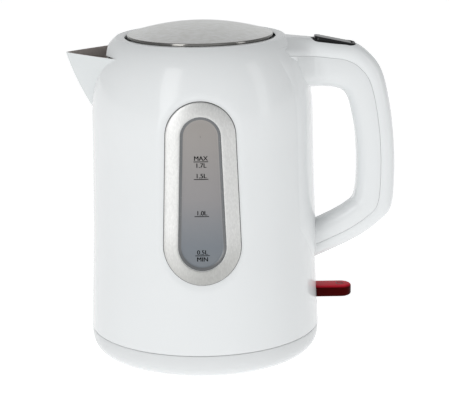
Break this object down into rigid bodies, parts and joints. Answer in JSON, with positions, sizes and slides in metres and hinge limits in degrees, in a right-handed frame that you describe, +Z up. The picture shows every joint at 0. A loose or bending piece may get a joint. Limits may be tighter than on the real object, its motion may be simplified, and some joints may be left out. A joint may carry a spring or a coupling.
{
  "type": "electric kettle",
  "caption": "Cordless electric jug kettle, white, with steel lid and window trim, V spout, closed loop handle with lid button, side switch lever and round power base.",
  "frame": {"origin": "on the jug's axis at the table plane, at the middle of the base's centre foot", "axes": "+Z up along the jug's axis, +X to the handle, -X to the spout, -Y to the water window"},
  "size_m": [0.2318, 0.165, 0.2388],
  "materials": {
    "white_plastic": "satin gloss moulded plastic",
    "white_lacquer": "smooth gloss white lacquer on steel",
    "brushed_steel": "fine brushed",
    "plain_steel": "plain mill finish",
    "black_plastic": "matt moulded",
    "black_gloss": "gloss moulded",
    "grey_plastic": "matt moulded",
    "rubber": "matt",
    "silicone": "translucent matt",
    "contact_metal": "bright",
    "smoke_window": "clear smoked plastic",
    "red_clear": "clear red plastic, polished"
  },
  "bodies": {
    "base": {"base_cover": "white_plastic", "base_bottom_plate": "grey_plastic", "base_socket": "black_plastic", "cord_gland": "black_plastic", "base_foot_centre": "rubber", "base_foot_1": "rubber", "base_foot_2": "rubber", "base_foot_3": "rubber", "base_foot_4": "rubber", "live_contact": "contact_metal", "neutral_contact": "contact_metal", "earth_contact": "contact_metal"},
    "shutter": {"socket_shutter": "grey_plastic"},
    "jug": {"jug_shell": "white_lacquer", "spout": "white_lacquer", "window_trim": "brushed_steel", "window_pane": "smoke_window", "window_gasket": "silicone", "element_plate": "plain_steel", "element_seal": "silicone", "heat_spreader": "plain_steel", "heating_element": "plain_steel", "controller": "black_plastic", "dry_boil_disc": "contact_metal", "steam_disc": "contact_metal", "steam_tube": "grey_plastic", "jug_connector": "black_plastic", "indicator_lamp": "red_clear", "bottom_cover": "white_plastic", "bottom_screw_1": "plain_steel", "bottom_screw_2": "plain_steel", "bottom_screw_3": "plain_steel", "handle_body": "white_plastic", "handle_cover": "white_plastic", "button_bezel": "black_plastic", "latch_spring": "plain_steel", "button_spring": "plain_steel", "button_carrier": "grey_plastic", "lid_hinge_pin": "plain_steel", "lid_collar": "white_plastic", "filter_frame": "grey_plastic", "filter_mesh": "plain_steel", "switch_pin": "plain_steel"},
    "lid": {"lid_cap": "brushed_steel", "lid_body": "grey_plastic", "lid_seal": "silicone"},
    "button": {"release_button": "black_gloss"},
    "latch": {"latch_bolt": "plain_steel"},
    "switch": {"switch_lever": "red_clear"}
  },
  "joints": [
    {"name": "jug_swivel", "type": "hinge", "parent": "base", "child": "shutter", "pos_m": [0, 0, 0.017], "axis": [0, 0, 1], "continuous": true},
    {"name": "jug_lift", "type": "slide", "parent": "shutter", "child": "jug", "axis": [0, 0, 1], "range_m": [0, 0.08]},
    {"name": "lid_hinge", "type": "hinge", "parent": "jug", "child": "lid", "pos_m": [0.056, 0, 0.226], "axis": [0, 1, 0], "range_deg": [0, 80]},
    {"name": "button_press", "type": "slide", "parent": "jug", "child": "button", "axis": [-0.2079, 0, -0.9781], "range_m": [0, 0.003], "stiffness_N_per_m": 400, "springref_m": -0.001, "deforming": ["button_spring"]},
    {"name": "latch_slide", "type": "slide", "parent": "jug", "child": "latch", "axis": [1, 0, 0], "range_m": [0, 0.0045]},
    {"name": "switch_rock", "type": "hinge", "parent": "jug", "child": "switch", "pos_m": [0.062, 0, 0.0417], "axis": [0, 1, 0], "range_deg": [0, 9]}
  ],
  "couplings": [
    {"joint": "latch_slide", "follows": "button_press", "ratio": 1.5}
  ]
}
